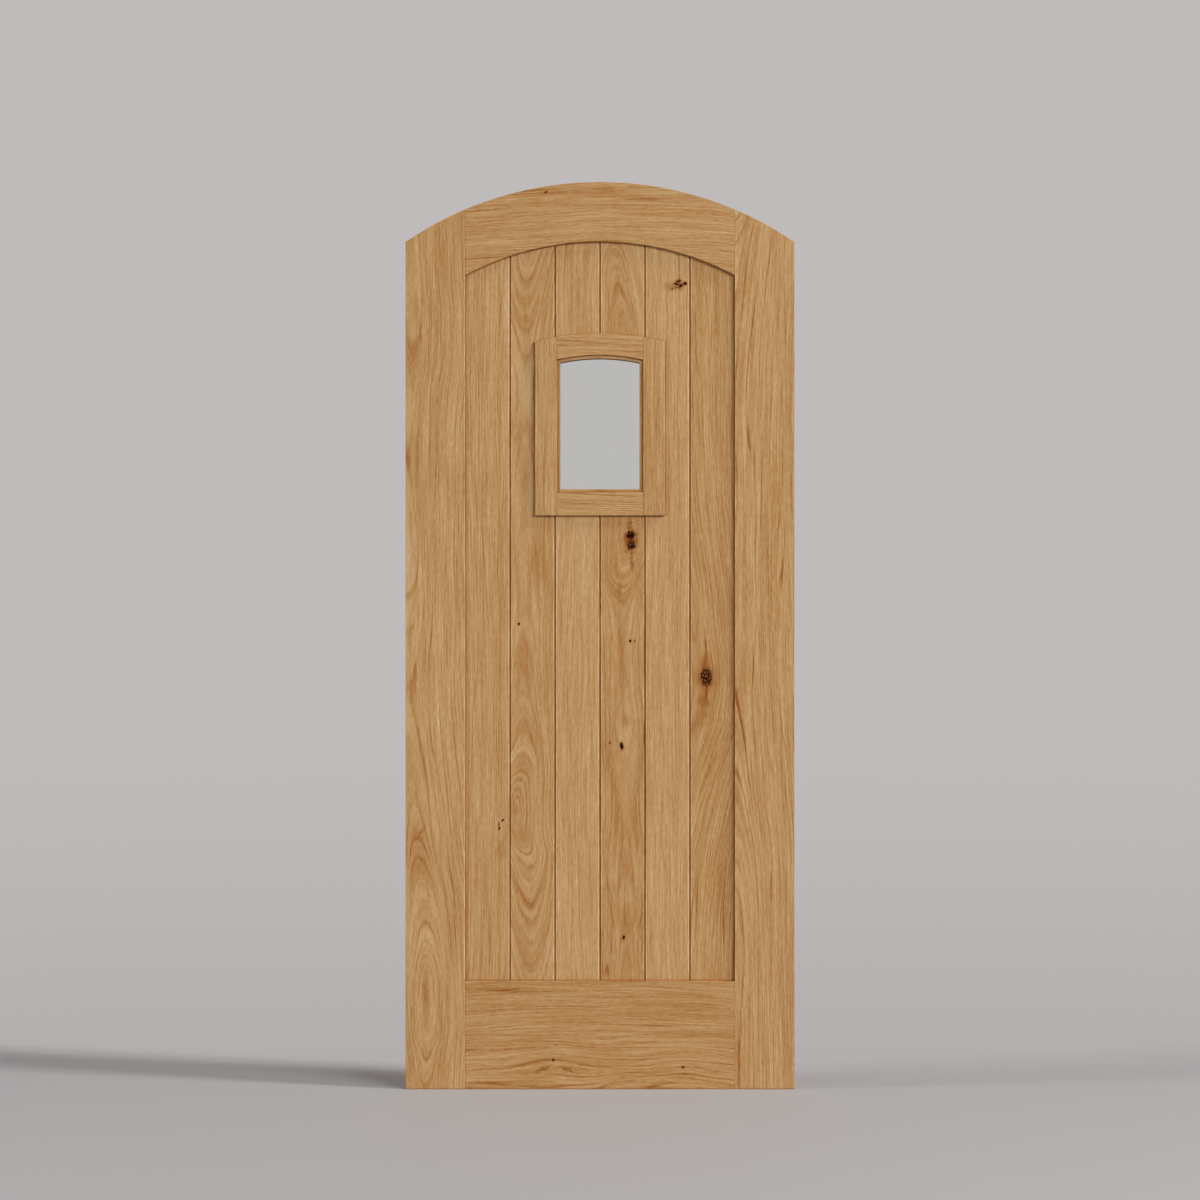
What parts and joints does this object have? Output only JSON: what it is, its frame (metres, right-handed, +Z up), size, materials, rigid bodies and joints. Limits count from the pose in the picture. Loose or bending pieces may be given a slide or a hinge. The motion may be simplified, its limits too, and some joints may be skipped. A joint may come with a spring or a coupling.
{
  "type": "arched plank door",
  "caption": "Door leaf of knotty oak with an arched head, a panel of upright V-jointed planks between stiles and rails, and a small arched glazed window.",
  "frame": {"origin": "middle of the leaf's foot: half its width, half its thickness, at the bottom edge", "axes": "+Z up the leaf, +X to the right seen from the front, -Y out of the front face"},
  "size_m": [0.9144, 0.0444, 2.1335],
  "materials": {
    "oak": "knotty white oak, sanded, matte oil",
    "beech": "turned beech dowel",
    "clear_glass": "clear float glass",
    "foam_spacer": "silicone foam spacer",
    "edge_sealant": "cured edge sealant",
    "setting_rubber": "moulded rubber pad",
    "pin_steel": "drawn steel pin"
  },
  "bodies": {
    "root": {"left_stile": "oak", "right_stile": "oak", "top_rail": "oak", "bottom_rail": "oak", "plank_1": "oak", "plank_2": "oak", "plank_3_upper": "oak", "plank_3_lower": "oak", "plank_4_upper": "oak", "plank_4_lower": "oak", "plank_5": "oak", "plank_6": "oak", "window_left_stile": "oak", "window_right_stile": "oak", "window_top_rail": "oak", "window_bottom_rail": "oak", "front_stop_left": "oak", "front_stop_right": "oak", "front_stop_arch": "oak", "front_stop_bottom": "oak", "rear_stop_left": "oak", "rear_stop_right": "oak", "rear_stop_arch": "oak", "rear_stop_bottom": "oak", "top_rail_tenons": "oak", "bottom_rail_tenons": "oak", "outer_pane": "clear_glass", "inner_pane": "clear_glass", "glazing_spacer": "foam_spacer", "glazing_seal": "edge_sealant", "setting_blocks": "setting_rubber", "window_dowels": "beech", "stop_pins": "pin_steel"}
  },
  "joints": []
}
